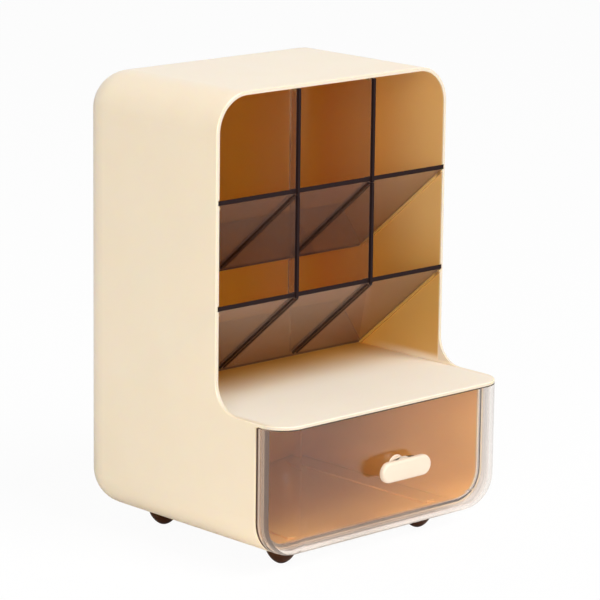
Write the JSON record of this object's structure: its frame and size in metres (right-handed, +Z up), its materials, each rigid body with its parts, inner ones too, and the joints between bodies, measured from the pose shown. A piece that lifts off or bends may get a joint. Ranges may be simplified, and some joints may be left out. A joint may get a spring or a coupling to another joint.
{
  "type": "craft supply organizer",
  "caption": "Upright desktop organizer: a rounded shell with slanted see-through pen floors and dividers, an open shelf, and a clear pull-out drawer with a knob, on rubber feet.",
  "frame": {"origin": "middle of the footprint, knob included, on the surface that the feet stand on", "axes": "+X to the right seen from the front, +Y from the drawer's front to the housing's back, +Z up"},
  "size_m": [0.15, 0.1536, 0.2255],
  "materials": {
    "housing_plastic": "satin cream moulded plastic",
    "smoke_plastic": "polished see-through smoke-brown plastic",
    "clear_plastic": "polished clear plastic",
    "knob_plastic": "satin cream moulded plastic",
    "screw_steel": "plated steel",
    "foot_rubber": "glossy dark-brown rubber"
  },
  "bodies": {
    "housing": {"housing": "housing_plastic", "upper_floor": "smoke_plastic", "lower_floor": "smoke_plastic", "upper_divider_left": "smoke_plastic", "upper_divider_right": "smoke_plastic", "lower_divider_left": "smoke_plastic", "lower_divider_right": "smoke_plastic", "front_left_foot": "foot_rubber", "front_right_foot": "foot_rubber", "rear_left_foot": "foot_rubber", "rear_right_foot": "foot_rubber"},
    "drawer": {"drawer": "clear_plastic", "drawer_knob": "knob_plastic", "knob_screw": "screw_steel"}
  },
  "joints": [
    {"name": "drawer_slide", "type": "slide", "parent": "housing", "child": "drawer", "axis": [0, -1, 0], "range_m": [0, 0.11]}
  ]
}
